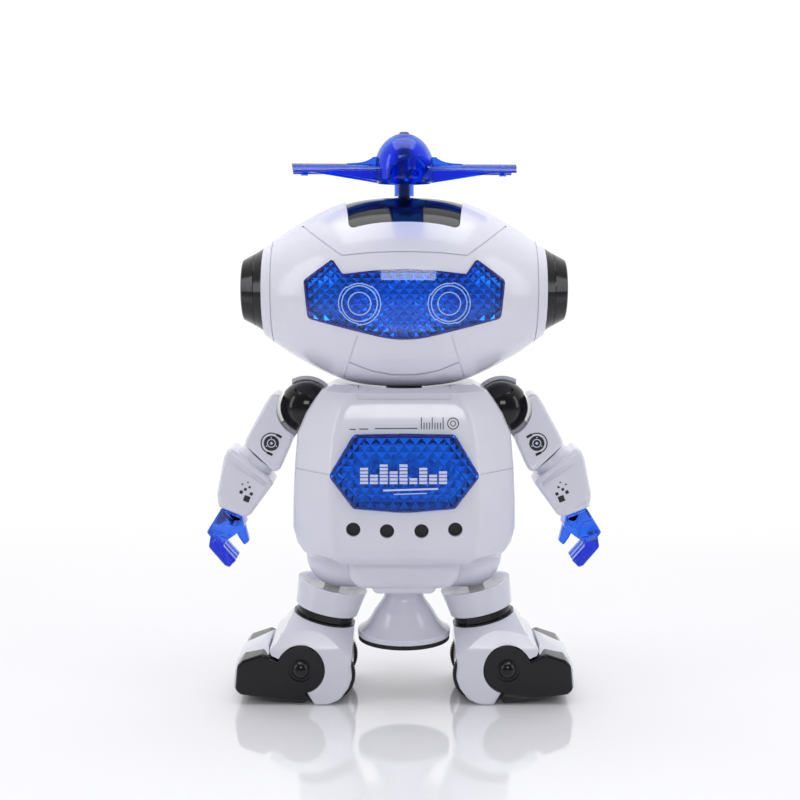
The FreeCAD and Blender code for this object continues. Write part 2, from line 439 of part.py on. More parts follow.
def side_profile(off):
    b = doc.addObject("PartDesign::Body", "body")
    pts = [(-22.5 + off, -4), (22.5 - off, -4), (22.5 - off, 18), (21.0 - off, 25), (14.4 - off, 38), (-14.4 + off, 38), (-21.0 + off, 25), (-22.5 + off, 18)]
    s = sketch(b, "YZ_Plane", poly(pts, [0, 0, 10, 10, 0, 0, 10, 10]), -95)
    p = b.newObject("PartDesign::Pad", "pad"); p.Profile = s; p.Length = 90
    return b
notch = cyl((-D["toe_x"], -30, D["toe_z"]), (0, 1, 0), "toe_notch", 60)
boot_solid = common(common(boot_raw, side_profile(0)), leg_cone(14.2, 31.0))
boot = cut(boot_solid, notch)
in_pts = [(-44, 33), (-49, 32), (-52.5, 28), (-56.5, 24.8), (-57.5, 20), (-57.5, -3), (-25.3, -3), (-25.3, 20), (-24.6, 30), (-27, 33)]
cavity = common(common(prism(poly(in_pts), -19.2, 19.2), side_profile(2.2)), leg_cone(12.0, 33.2))
axle_hole = cyl((-D["wheel_x"], -21.9, D["wheel_radius"]), (0, 1, 0), "axle_bore", 43.8)
cheek_pts = [(-49.5, 32), (-41.2, 32), (-41.2, 13), (-44, 11.2), (-48.5, 12.6)]
cheeks = common(fuse(*[prism(poly(cheek_pts, [0, 0, 1.5, 1.5, 1.5]), min(s * 17.6, s * 19.3), max(s * 17.6, s * 19.3)) for s in (-1, 1)]), boot_solid)
wells = fuse(*[cyl((-D["wheel_x"], y, D["wheel_radius"]), (0, 1, 0), D["wheel_radius"] + 0.5, 5.6) for y in (-17.5, 11.9)])
boot = cut(fuse(cut(boot, cavity), cheeks), wells)
toe_pin = cyl((-D["toe_x"], -21.6, D["toe_z"]), (0, 1, 0), "toe_pin", 43.2)
boot = cut(boot, axle_hole, toe_pin)
bf, brr = common(boot, box((-90, -30, -5), (0, 0, 60))), common(boot, box((-90, 0, -5), (0, 30, 60)))
caps = []
for s in (-1, 1):
    caps.append(cut(common(sph((-D["toe_x"], s * 19.8, D["toe_z"]), 4.4), cyl((-D["toe_x"], s * 22.0, D["toe_z"]), (0, s, 0), "cap_radius", 4)), ))
pivot = fuse(*[cyl((-D["toe_x"], y, D["toe_z"]), (0, 1, 0), "toe_pin", 4.7) for y in (-22.3, 17.6)], *caps)
boot_parts = dict(thigh_cuff=cuff, ankle_ring=ring, boot_front_shell=bf, boot_rear_shell=brr, toe_pivot_pin=pivot)
# toe: two black side plates with discs, closed across the front, under a white crowned cover
toe_pts = [(-58.9, 21.3), (-62, 23.0), (-71.1, 20), (-73.3, 17.6), (-74.3, 6.7), (-72, 4.6), (-57.8, 2.5), (-43.6, 1.0), (-42.9, 3.4), (-45.4, 16), (-53, 18.8)]
T2 = D["toe_half"]
toe_side = prism(poly(toe_pts, [1, 2, 2, 2.5, 2.5, 2, 20, 0.6, 0.5, 0, 2]), -T2, T2, 1.2)
disc = cyl((-D["toe_x"], -T2, D["toe_z"]), (0, 1, 0), "toe_disc", 2 * T2)
toe_hollow = prism(poly([(-57.5, -5), (-30, -5), (-30, 40), (-57.5, 40)]), -19.6, 19.6)
toe_inner = prism(poly([(-60, -5), (-60, 18.5), (-68.5, 16.5), (-70.5, 14), (-71, 8), (-71, -5)]), -19.0, 19.0)
groove_ring = fuse(*[cut(cyl((-D["toe_x"], s * 21.35 - 0.4, D["toe_z"]), (0, 1, 0), 5.4, 0.8), cyl((-D["toe_x"], s * 21.35 - 0.6, D["toe_z"]), (0, 1, 0), 4.3, 1.2)) for s in (-1, 1)])
cover_pts = [(-59.3, 21.6), (-60.2, 24.2), (-62.2, 24.9), (-70.8, 20.9), (-74.3, 18.0), (-75.2, 7.0), (-73.6, 5.4), (-72.6, 7.0), (-72.2, 16.6), (-69.8, 18.9), (-62, 21.3)]
cover = prism(poly(cover_pts, [0.3, 0.8, 1.5, 2, 3, 1.5, 0.5, 0.5, 2, 2, 2]), -18.6, 18.6, 1.2)
td = V(-8.8, 0, -4.0); td.normalize()
tn = V(-4.0, 0, 8.8); tn.normalize()
tc = V(-62, 0, 25.15) - tn * 45 - td * 40
cover = common(cover, cyl((tc.x, tc.y, tc.z), (td.x, 0, td.z), 45.0, 90.0))
toe_bore = cyl((-D["toe_x"], -30, D["toe_z"]), (0, 1, 0), "toe_bore", 60)
toe = cut(fuse(toe_side, disc), toe_hollow, toe_inner, groove_ring, cover, toe_bore)
boot_parts["toe_body"] = toe
boot_parts["toe_cover"] = cover
WX, WR = D["wheel_x"], D["wheel_radius"]
def tread(y0, w):
    n = 60
    pts = []
    for k in range(n):
        a = 2 * math.pi * k / n
        for f, r in ((-0.25, WR - 0.45), (-0.12, WR), (0.12, WR), (0.25, WR - 0.45)):
            aa = a + f * 2 * math.pi / n - math.pi / 2
            pts.append((-WX + r * math.cos(aa), WR + r * math.sin(aa)))
    return prism(poly(pts), y0, y0 + w)
ww = D["wheel_width"]
wheels = fuse(tread(12.4, ww), tread(-12.4 - ww, ww), cyl((-WX, -21.4, WR), (0, 1, 0), "axle_radius", 42.8), cyl((-WX, -12.4, WR), (0, 1, 0), 4.0, 24.8))
boot_parts["heel_wheels"] = wheels
for nm, o in boot_parts.items():
    node(nm + "_left", o)
    node(nm + "_right", mirror(o))

# ------------------------------------------------------------------ arms (left side first)
slot_b = fuse(box((-58, -3.4, 116), (-SX + 2.0, 3.4, 136.2)), cyl((-SX, -3.4, SZ), (0, 1, 0), 6.3, 6.8))
stub = cyl((-SX + 8, 0, SZ), (1, 0, 0), "stub_radius", 8.2)
ball = fuse(cut(sph((-SX, 0, SZ), "ball_radius"), slot_b), stub, cyl((-SX + 16.2, 0, SZ), (1, 0, 0), 5.4, 2.0), cyl((-SX, -6, SZ), (0, 1, 0), "raise_pin", 12))
u_pts = [(-57.6, 137.2), (-61.5, 131), (-70.6, 114.3), (-57.2, 101.5), (-54.8, 102.6), (-49.4, 114.9), (-48.6, 119.5), (-46, 126), (-50, 133)]
upper = cut(prism(poly(u_pts, [3.0, 8, 3.5, 3.2, 4, 3.2, 3, 0, 0]), -D["arm_half"], D["arm_half"], 2.6), cyl((-SX, -14, SZ), (0, 1, 0), 12.35, 28), box((-48.5, -20, 90), (-30, 20, 150)))
lug_dir = (-math.sin(math.radians(38)), 0, -math.cos(math.radians(38)))
tongue = fuse(cyl((-SX, -3, SZ), (0, 1, 0), 5.6, 6), common(box((-70, -3, 100), (-30, 3, 140)), cyl((-SX, 0, SZ), lug_dir, 4.2, 17)))
upper = cut(fuse(upper, tongue), cyl((-SX, -12, SZ), (0, 1, 0), "raise_bore", 24))
E0, nn = V(-63.9, 0, 107.9), V(-0.675, 0, -0.738)
nn.normalize()
def along(p, d, s):
    q = p + d * s
    return (q.x, q.y, q.z)
upper = fuse(upper, cyl(along(E0, nn, -3), tuple(nn), "elbow_pin", 12))
f_pts = [(-76.9, 113.2), (-79.2, 108.5), (-82.6, 91.8), (-81.9, 86.2), (-69.0, 81.0), (-60.3, 92.9), (-57.6, 96.6), (-58.9, 98.7)]
fore = prism(poly(f_pts, [2.5, 8, 6, 1.5, 4, 6, 1.0, 1.0]), -D["forearm_half"], D["forearm_half"], 3.0)
side_step = fuse(box((-60, 0, 0), (-59, 1, 1)))
fore = fuse(fore, cyl(along(E0, nn, 0.5), tuple(nn), 8.8, 6.0))
W0, wn = V(-76.25, 0, 83.85), V(-0.37, 0, -0.93)
wn.normalize()
fore = cut(fore, cyl(along(E0, nn, 0.2), tuple(nn), "elbow_bore", 9.4), cyl(along(W0, wn, -8.4), tuple(wn), "wrist_bore", 12))
palm_pts = [(-81.0, 85.2), (-71.9, 81.5), (-70.9, 76.5), (-75.6, 72.6), (-81, 69), (-86.5, 72.3), (-87.9, 74.2)]
palm = prism(poly(palm_pts, [0.8, 1, 2, 1.5, 1, 1.5, 2]), -D["palm_half"], D["palm_half"], 1.2)
fin_pts = [(-85.8, 74), (-86.9, 67.7), (-79.9, 59.4), (-77.9, 58.5), (-74.8, 61.6), (-80.6, 68.2), (-78.5, 72)]
thumb_pts = [(-76, 74.5), (-71.4, 77), (-69.5, 69.2), (-71.7, 67.2), (-73.9, 70.5)]
fw = D["finger_width"] / 2
hand = fuse(palm, *[prism(poly(fin_pts, [0.5, 2, 1.2, 0.8, 0.6, 1.5, 0.5]), y - fw, y + fw, 0.7) for y in (-5.9, 0, 5.9)],
            prism(poly(thumb_pts, [0.5, 0.8, 0.8, 0.8, 1]), -2.4, 2.4, 0.7), cyl(along(W0, wn, -8), tuple(wn), "wrist_pin", 10))
arms = dict(shoulder_ball=ball, upper_arm=upper, forearm=fore, hand=hand)
for nm, o in arms.items():
    node(nm + "_left", o)
    node(nm + "_right", mirror(o))

doc.removeObject(side_step.Name)
doc.recompute()
bad = [o.Label for o in doc.Objects if "Invalid" in o.State or "Error" in o.State]
for name, o in nodes.items():
    if o.Shape.isNull() or not o.Shape.isValid() or not o.Shape.Solids:
        bad.append(name)
if bad:
    raise RuntimeError("failed objects: " + ", ".join(bad))
os.makedirs("parts", exist_ok=True)
for name, o in nodes.items():
    o.Shape.exportStep("parts/%s.step" % name)
print(len(nodes), "nodes written")
for name, o in nodes.items():
    bbx = o.Shape.BoundBox
    print("%-22s n=%d vol %8.1f  X %6.1f %6.1f  Y %6.1f %6.1f  Z %6.1f %6.1f" % (name, len(o.Shape.Solids), o.Shape.Volume, bbx.XMin, bbx.XMax, bbx.YMin, bbx.YMax, bbx.ZMin, bbx.ZMax))
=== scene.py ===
import bpy, bmesh, math, json
from mathutils import Vector, Matrix
from mathutils.bvhtree import BVHTree


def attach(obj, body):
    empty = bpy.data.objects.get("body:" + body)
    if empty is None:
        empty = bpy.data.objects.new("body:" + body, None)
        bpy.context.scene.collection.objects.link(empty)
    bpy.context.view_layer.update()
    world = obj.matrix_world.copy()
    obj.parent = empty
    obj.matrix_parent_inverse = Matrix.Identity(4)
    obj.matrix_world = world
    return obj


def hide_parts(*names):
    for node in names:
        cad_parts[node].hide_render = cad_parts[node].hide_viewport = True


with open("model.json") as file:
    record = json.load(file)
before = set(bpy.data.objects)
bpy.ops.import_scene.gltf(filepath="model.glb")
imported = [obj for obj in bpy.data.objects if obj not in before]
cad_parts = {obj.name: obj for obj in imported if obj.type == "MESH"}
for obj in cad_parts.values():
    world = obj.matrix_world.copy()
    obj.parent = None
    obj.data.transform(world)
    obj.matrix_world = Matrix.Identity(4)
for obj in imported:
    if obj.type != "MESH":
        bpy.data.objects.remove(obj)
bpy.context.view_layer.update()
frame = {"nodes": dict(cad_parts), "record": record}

nodes = frame["nodes"]
SIDES = (("left", -1.0), ("right", 1.0))
MM = 0.001

# ---------------------------------------------------------------- materials
def new_mat(name):
    m = bpy.data.materials.new(name)
    m.use_nodes = True
    nt = m.node_tree
    b = nt.nodes["Principled BSDF"]
    return m, nt, b

def link(nt, a, b):
    nt.links.new(a, b)

def noise(nt, scale, detail=3.0, rough=0.5, coord=None):
    n = nt.nodes.new("ShaderNodeTexNoise")
    n.inputs["Scale"].default_value = scale
    n.inputs["Detail"].default_value = detail
    n.inputs["Roughness"].default_value = rough
    link(nt, coord, n.inputs["Vector"])
    return n

def ramp(nt, src, lo, hi, a=0.3, b=0.7):
    r = nt.nodes.new("ShaderNodeMapRange")
    r.inputs["From Min"].default_value = a
    r.inputs["From Max"].default_value = b
    r.inputs["To Min"].default_value = lo
    r.inputs["To Max"].default_value = hi
    link(nt, src, r.inputs["Value"])
    return r.outputs["Result"]

def mix_col(nt, fac, c1, c2):
    r = nt.nodes.new("ShaderNodeValToRGB")
    r.color_ramp.elements[0].position = 0.35
    r.color_ramp.elements[1].position = 0.68
    r.color_ramp.elements[0].color = (*c1, 1)
    r.color_ramp.elements[1].color = (*c2, 1)
    link(nt, fac, r.inputs["Fac"])
    return r.outputs["Color"]

def moulded(name, c1, c2, rough, drough, fine=900.0, bump=0.06, coat=0.0, spec=0.5, scratch=0.0, metal=0.0, sss=0.0):
    """Moulded plastic: slow colour drift, fine orange peel, uneven gloss and, if asked, hairline scratches."""
    m, nt, b = new_mat(name)
    co = nt.nodes.new("ShaderNodeTexCoord").outputs["Object"]
    drift = noise(nt, 34.0, 3, 0.5, co)
    link(nt, mix_col(nt, drift.outputs["Fac"], c1, c2), b.inputs["Base Color"])
    gl = noise(nt, 120.0, 5, 0.6, co)
    r = ramp(nt, gl.outputs["Fac"], rough - drough, rough + drough)
    if scratch > 0:
        mp = nt.nodes.new("ShaderNodeMapping")
        mp.inputs["Scale"].default_value = (1.0, 1.0, 22.0)
        mp.inputs["Rotation"].default_value = (0.5, 0.35, 0.2)
        link(nt, co, mp.inputs["Vector"])
        sc = noise(nt, 160.0, 6, 0.7, mp.outputs["Vector"])
        add = nt.nodes.new("ShaderNodeMath"); add.operation = "ADD"
        link(nt, r, add.inputs[0]); link(nt, ramp(nt, sc.outputs["Fac"], 0.0, scratch, 0.56, 0.72), add.inputs[1])
        r = add.outputs[0]
    link(nt, r, b.inputs["Roughness"])
    f = noise(nt, fine, 2, 0.5, co)
    w = noise(nt, 60.0, 2, 0.5, co)
    s = nt.nodes.new("ShaderNodeMath"); s.operation = "MULTIPLY_ADD"
    s.inputs[1].default_value = 0.35
    link(nt, f.outputs["Fac"], s.inputs[0]); link(nt, w.outputs["Fac"], s.inputs[2])
    bp = nt.nodes.new("ShaderNodeBump")
    bp.inputs["Strength"].default_value = bump
    bp.inputs["Distance"].default_value = 0.0003
    link(nt, s.outputs[0], bp.inputs["Height"])
    link(nt, bp.outputs["Normal"], b.inputs["Normal"])
    b.inputs["Specular IOR Level"].default_value = spec
    b.inputs["Coat Weight"].default_value = coat
    b.inputs["Coat Roughness"].default_value = 0.06
    b.inputs["Metallic"].default_value = metal
    if sss:
        b.inputs["Subsurface Weight"].default_value = sss
        b.inputs["Subsurface Radius"].default_value = (0.002, 0.002, 0.0025)
        b.inputs["Subsurface Scale"].default_value = 1.0
    return m

def tinted(name, c1, c2, rough=0.05, trans=1.0, bump=0.04, ior=1.49):
    """Clear tinted moulding: colour drift, faint flow waves and tiny scratches in its gloss."""
    m, nt, b = new_mat(name)
    co = nt.nodes.new("ShaderNodeTexCoord").outputs["Object"]
    d = noise(nt, 55.0, 3, 0.5, co)
    link(nt, mix_col(nt, d.outputs["Fac"], c1, c2), b.inputs["Base Color"])
    g = noise(nt, 180.0, 4, 0.6, co)
    link(nt, ramp(nt, g.outputs["Fac"], rough * 0.5, rough * 1.8), b.inputs["Roughness"])
    w = noise(nt, 90.0, 2, 0.4, co)
    bp = nt.nodes.new("ShaderNodeBump")
    bp.inputs["Strength"].default_value = bump
    bp.inputs["Distance"].default_value = 0.0004
    link(nt, w.outputs["Fac"], bp.inputs["Height"]); link(nt, bp.outputs["Normal"], b.inputs["Normal"])
    b.inputs["Transmission Weight"].default_value = trans
    b.inputs["IOR"].default_value = ior
    return m

def banded(name, c1, c2, rough, scale, bump, metal=0.0, axis="X"):
    m, nt, b = new_mat(name)
    co = nt.nodes.new("ShaderNodeTexCoord").outputs["Object"]
    wv = nt.nodes.new("ShaderNodeTexWave")
    wv.bands_direction = axis
    wv.inputs["Scale"].default_value = scale
    wv.inputs["Distortion"].default_value = 1.5
    wv.inputs["Detail"].default_value = 3
    link(nt, co, wv.inputs["Vector"])
    n = noise(nt, 150, 4, 0.6, co)
    link(nt, mix_col(nt, n.outputs["Fac"], c1, c2), b.inputs["Base Color"])
    link(nt, ramp(nt, n.outputs["Fac"], rough * 0.8, rough * 1.25), b.inputs["Roughness"])
    bp = nt.nodes.new("ShaderNodeBump")
    bp.inputs["Strength"].default_value = bump
    bp.inputs["Distance"].default_value = 0.0002
    link(nt, wv.outputs["Fac"], bp.inputs["Height"]); link(nt, bp.outputs["Normal"], b.inputs["Normal"])
    b.inputs["Metallic"].default_value = metal
    return m

M = {}
M["white_shell"] = moulded("white_shell", (0.735, 0.735, 0.835), (0.765, 0.765, 0.86), 0.20, 0.04, 700, 0.05, coat=0.35, scratch=0.05, sss=0.06)
M["black_gloss"] = moulded("black_gloss", (0.0030, 0.0030, 0.0042), (0.0055, 0.0055, 0.0075), 0.10, 0.03, 500, 0.04, coat=0.0, spec=0.42, scratch=0.05)
M["blue_clear"] = tinted("blue_clear", (0.018, 0.135, 0.93), (0.028, 0.18, 0.97), 0.06, 0.90, 0.08)
M["lens_clear"] = tinted("lens_clear", (0.055, 0.44, 0.98), (0.085, 0.50, 1.0), 0.03, 1.0, 0.015)
M["blue_reflector"] = moulded("blue_reflector", (0.36, 0.62, 0.98), (0.46, 0.70, 1.0), 0.09, 0.03, 900, 0.03, metal=0.9)
M["black_matte"] = moulded("black_matte", (0.007, 0.007, 0.009), (0.014, 0.014, 0.016), 0.42, 0.08, 1400, 0.25)
M["rubber"] = moulded("rubber", (0.012, 0.012, 0.012), (0.026, 0.025, 0.024), 0.62, 0.12, 1800, 0.4, spec=0.35)
M["steel"] = banded("steel", (0.50, 0.50, 0.52), (0.68, 0.68, 0.70), 0.26, 420, 0.10, 1.0)
M["board"] = banded("board", (0.010, 0.10, 0.035), (0.02, 0.16, 0.05), 0.40, 300, 0.3)
M["inner_grey"] = moulded("inner_grey", (0.20, 0.20, 0.22), (0.25, 0.25, 0.27), 0.5, 0.08, 1200, 0.2)
M["gear_white"] = moulded("gear_white", (0.62, 0.61, 0.56), (0.70, 0.69, 0.64), 0.38, 0.06, 900, 0.1, sss=0.1)
M["cell"] = banded("cell", (0.55, 0.33, 0.05), (0.66, 0.42, 0.08), 0.28, 90, 0.06, 0.6)
M["brass"] = banded("brass", (0.66, 0.46, 0.16), (0.78, 0.58, 0.24), 0.3, 380, 0.1, 1.0)
M["print_black"] = moulded("print_black", (0.012, 0.012, 0.018), (0.022, 0.022, 0.03), 0.32, 0.05, 1500, 0.12)
M["print_white"] = moulded("print_white", (0.62, 0.66, 0.86), (0.70, 0.73, 0.90), 0.34, 0.05, 1500, 0.12)
M["print_pale"] = moulded("print_pale", (0.36, 0.52, 0.90), (0.46, 0.62, 0.95), 0.34, 0.05, 1500, 0.12)
# Painted shade: opaque dark blue for a band along the lens borders, standing in for the darker look of the lens side
# walls
M["lens_edge_painted_shade"] = moulded("lens_edge_painted_shade", (0.010, 0.012, 0.26), (0.018, 0.02, 0.36), 0.12, 0.04, 700, 0.04, coat=0.5)

slot_of = {s["node"]: s["material_slot"] for s in frame["record"]["subparts"]}
for n, o in nodes.items():
    mat = M.get(slot_of.get(n, ""), M["white_shell"])
    if n in ("visor_lens", "chest_lens"):
        mat = M["lens_clear"]
    if not o.data.materials:
        o.data.materials.append(mat)
    for i in range(len(o.data.materials)):
        o.data.materials[i] = mat
    for p in o.data.polygons:
        p.use_smooth = True
    w = o.modifiers.new("weld", "WELD"); w.merge_threshold = 2e-6
    e = o.modifiers.new("crisp", "EDGE_SPLIT"); e.split_angle = math.radians(24); e.use_edge_sharp = False

# ---------------------------------------------------------------- surface helpers
def tree(*names):
    vs, fs = [], []
    for n in names:
        me = nodes[n].data
        k = len(vs)
        vs += [v.co.copy() for v in me.vertices]
        fs += [[k + i for i in p.vertices] for p in me.polygons]
    return BVHTree.FromPolygons(vs, fs)

def front_y(bvh, x, z, y0=-0.2):
    hit = bvh.ray_cast(Vector((x * MM, y0, z * MM)), Vector((0, 1, 0)))
    return None if hit[0] is None else hit[0].y

def make(name, verts, faces, mat, body, smooth=False):
    me = bpy.data.meshes.new(name)
    me.from_pydata([tuple(v) for v in verts], [], faces)
    bm = bmesh.new(); bm.from_mesh(me)
    bmesh.ops.remove_doubles(bm, verts=bm.verts, dist=1e-7)
    bmesh.ops.recalc_face_normals(bm, faces=bm.faces)
    bm.to_mesh(me); bm.free()
    for p in me.polygons:
        p.use_smooth = smooth
    me.materials.append(mat)
    o = bpy.data.objects.new(name, me)
    bpy.context.scene.collection.objects.link(o)
    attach(o, body)
    return o

def decal(name, polys, bvh, mat, body, lift=0.02, thick=0.07):
    """Printed or raised mark, or a band of painted shade: each polygon (front-view points in mm) is laid on the surface
    and given a thickness.
    """
    vs, fs = [], []
    for poly in polys:
        ys = [front_y(bvh, x, z) for x, z in poly]
        if any(y is None for y in ys):
            continue
        k, n = len(vs), len(poly)
        a = sum(poly[i][0] * poly[(i + 1) % n][1] - poly[(i + 1) % n][0] * poly[i][1] for i in range(n))
        order = range(n) if a > 0 else range(n - 1, -1, -1)
        P = [(poly[i], ys[i]) for i in order]
        vs += [(p[0] * MM, y - thick * MM, p[1] * MM) for p, y in P]
        vs += [(p[0] * MM, y + lift * MM, p[1] * MM) for p, y in P]
        fs.append(tuple(k + i for i in range(n)))
        fs.append(tuple(k + n + i for i in range(n - 1, -1, -1)))
        fs += [(k + i, k + n + i, k + n + (i + 1) % n, k + (i + 1) % n) for i in range(n)]
    me = bpy.data.meshes.new(name)
    me.from_pydata(vs, [], fs)
    bm = bmesh.new(); bm.from_mesh(me)
    bmesh.ops.remove_doubles(bm, verts=bm.verts, dist=1e-7)
    seen = {}
    for f in bm.faces:
        seen.setdefault(frozenset(v.index for v in f.verts), []).append(f)
    twins = [f for g in seen.values() if len(g) > 1 for f in g]
    bmesh.ops.delete(bm, geom=twins, context="FACES_ONLY")
    bmesh.ops.recalc_face_normals(bm, faces=bm.faces)
    bm.to_mesh(me); bm.free()
    me.materials.append(mat)
    o = bpy.data.objects.new(name, me)
    bpy.context.scene.collection.objects.link(o)
    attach(o, body)
    return o

def ring(cx, cz, r0, r1, a0=0.0, a1=360.0, n=72):
    k = max(3, int(n * (a1 - a0) / 360))
    out = []
    for i in range(k):
        p, q = math.radians(a0 + (a1 - a0) * i / k), math.radians(a0 + (a1 - a0) * (i + 1) / k)
        out.append([(cx + r0 * math.cos(p), cz + r0 * math.sin(p)), (cx + r1 * math.cos(p), cz + r1 * math.sin(p)),
                    (cx + r1 * math.cos(q), cz + r1 * math.sin(q)), (cx + r0 * math.cos(q), cz + r0 * math.sin(q))])
    return out

def disc(cx, cz, r, n=48):
    out = ring(cx, cz, r * 0.5, r, n=n)
    out += [[(cx, cz), (cx + r * 0.5 * math.cos(2 * math.pi * i / n), cz + r * 0.5 * math.sin(2 * math.pi * i / n)),
             (cx + r * 0.5 * math.cos(2 * math.pi * (i + 1) / n), cz + r * 0.5 * math.sin(2 * math.pi * (i + 1) / n))] for i in range(n)]
    return out

def bar(x0, z0, x1, z1, step=2.0):
    nx, nz = max(1, int(abs(x1 - x0) / step)), max(1, int(abs(z1 - z0) / step))
    return [[(x0 + (x1 - x0) * (i + u) / nx, z0 + (z1 - z0) * (j + v) / nz) for u, v in ((0, 0), (1, 0), (1, 1), (0, 1))] for i in range(nx) for j in range(nz)]

def stroke(pts, w):
    out = []
    for (x1, z1), (x2, z2) in zip(pts, pts[1:]):
        L = math.hypot(x2 - x1, z2 - z1)
        n = max(1, int(L / 1.5))
        ux, uz = (x2 - x1) / L, (z2 - z1) / L
        for i in range(n):
            a, b = L * i / n, L * (i + 1) / n
            out.append([(x1 + ux * t - uz * s, z1 + uz * t + ux * s) for t, s in ((a, -w / 2), (b, -w / 2), (b, w / 2), (a, w / 2))])
    return out

def square(cx, cz, size, ang):
    c, s = math.cos(math.radians(ang)) * size / 2, math.sin(math.radians(ang)) * size / 2
    return [[(cx - c + s, cz - s - c), (cx + c + s, cz + s - c), (cx + c - s, cz + s + c), (cx - c - s, cz - s + c)]]

def inside(poly, x, z):
    c = False
    for (x1, z1), (x2, z2) in zip(poly, poly[1:] + poly[:1]):
        if (z1 > z) != (z2 > z) and x < (x2 - x1) * (z - z1) / (z2 - z1) + x1:
            c = not c
    return c

def inset_band(poly, w0, w1, step=1.2):
    """Band that follows a closed outline, from w0 to w1 mm inside it."""
    dense = []
    for (x1, z1), (x2, z2) in zip(poly, poly[1:] + poly[:1]):
        n = max(1, int(math.hypot(x2 - x1, z2 - z1) / step))
        dense += [(x1 + (x2 - x1) * i / n, z1 + (z2 - z1) * i / n) for i in range(n)]
    n = len(dense)
    area = sum(dense[i][0] * dense[(i + 1) % n][1] - dense[(i + 1) % n][0] * dense[i][1] for i in range(n))
    sgn = 1 if area > 0 else -1
    def off(i, w):
        x, z = dense[i]
        ax, az = x - dense[i - 1][0], z - dense[i - 1][1]
        bx, bz = dense[(i + 1) % n][0] - x, dense[(i + 1) % n][1] - z
        la, lb = math.hypot(ax, az), math.hypot(bx, bz)
        nx, nz = -(az / la + bz / lb) * sgn, (ax / la + bx / lb) * sgn
        q = math.hypot(nx, nz) / 2
        return (x + nx / 2 / q / max(q, 0.5) * w, z + nz / 2 / q / max(q, 0.5) * w)
    return [[off(i, w0), off((i + 1) % n, w0), off((i + 1) % n, w1), off(i, w1)] for i in range(n)]

# ---------------------------------------------------------------- faceted reflectors
HEAD_Z = 180.7
PROFILE = [(0, 41.8), (12.5, 41.3), (23, 39.6), (32, 36.6), (41, 32.2), (50, 27), (56, 23), (61.2, 19.2)]
def head_r(x):
    x = abs(x)
    P = [(-12.5, 41.3)] + PROFILE
    for i in range(1, len(P) - 1):
        if P[i][0] <= x <= P[i + 1][0]:
            x0, y0 = P[i]; x1, y1 = P[i + 1]
            m0 = (P[i + 1][1] - P[i - 1][1]) / (P[i + 1][0] - P[i - 1][0])
            j = min(i + 2, len(P) - 1)
            m1 = (P[j][1] - P[i][1]) / (P[j][0] - P[i][0])
            t, d = (x - x0) / (x1 - x0), x1 - x0
            return (2 * t**3 - 3 * t**2 + 1) * y0 + (t**3 - 2 * t**2 + t) * d * m0 + (3 * t**2 - 2 * t**3) * y1 + (t**3 - t**2) * d * m1
    return PROFILE[-1][1]
def head_point(x, z, off):
    r = head_r(x) + off
    dz = z - HEAD_Z
    return Vector((x, -math.sqrt(max(r * r - dz * dz, 1.0)), z)) * MM

visor = [(-42, 186.2), (-29.8, 195), (-25.4, 188.9), (-12, 190.4), (0, 190.9), (12, 190.4), (25.4, 188.9), (29.8, 195),
         (42, 186.2), (40.4, 170.3), (16.9, 164.6), (8, 162.4), (0, 161.7), (-8, 162.4), (-16.9, 164.6), (-40.4, 170.3)]
chest = [(-21.4, 121.6), (0, 122), (21.4, 121.6), (32, 104), (21.4, 90.1), (0, 88.4), (-21.4, 90.1), (-32, 104)]
TILT = math.radians(-4)
def chest_point(x, z, off):
    dz = z - 105
    return Vector((x, -33.3 + off * math.cos(TILT) - dz * math.sin(TILT), 105 + off * math.sin(TILT) + dz * math.cos(TILT))) * MM

def facets(name, outline, w, h, point, base, apex, apex_out, grow, body, node):
    """Diamond cells of width w and height h, each a four-sided pyramid, laid on a curved or tilted surface."""
    cx = sum(p[0] for p in outline) / len(outline); cz = sum(p[1] for p in outline) / len(outline)
    big = [(cx + (x - cx) * grow[0], cz + (z - cz) * grow[1]) for x, z in outline]
    vs, fs, idx = [], [], {}
    def vid(x, z, off):
        k = (round(x, 3), round(z, 3), round(off, 3))
        if k not in idx:
            idx[k] = len(vs); vs.append(point(x, z, off))
        return idx[k]
    xs = [p[0] for p in big]; zs = [p[1] for p in big]
    i0, i1 = int(min(xs) / (w / 2)) - 2, int(max(xs) / (w / 2)) + 2
    j0, j1 = int(min(zs) / (h / 2)) - 2, int(max(zs) / (h / 2)) + 2
    for i in range(i0, i1):
        for j in range(j0, j1):
            if (i + j) % 2:
                continue
            x, z = i * w / 2, j * h / 2
            if not inside(big, x, z):
                continue
            up = apex if inside(outline, x, z) else apex_out
            c = vid(x, z, up)
            q = [vid(x - w / 2, z, base), vid(x, z - h / 2, base), vid(x + w / 2, z, base), vid(x, z + h / 2, base)]
            fs += [(c, q[k], q[(k + 1) % 4]) for k in range(4)]
    o = make(name, vs, fs, M["blue_reflector"], body)
    s = o.modifiers.new("back", "SOLIDIFY"); s.thickness = 0.0007; s.offset = -1.0
    o.data.update()
    if sum((p.normal.y * p.area for p in o.data.polygons)) > 0:
        o.data.flip_normals()
    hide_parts(node)
    return o
facets("visor_reflector_facets", visor, 4.4, 4.3, head_point, -3.1, -1.9, -2.6, (1.03, 1.06), "head", "visor_reflector")
facets("chest_reflector_facets", chest, 4.8, 6.0, chest_point, 3.2, 2.0, 2.7, (1.03, 1.03), "torso", "chest_reflector")
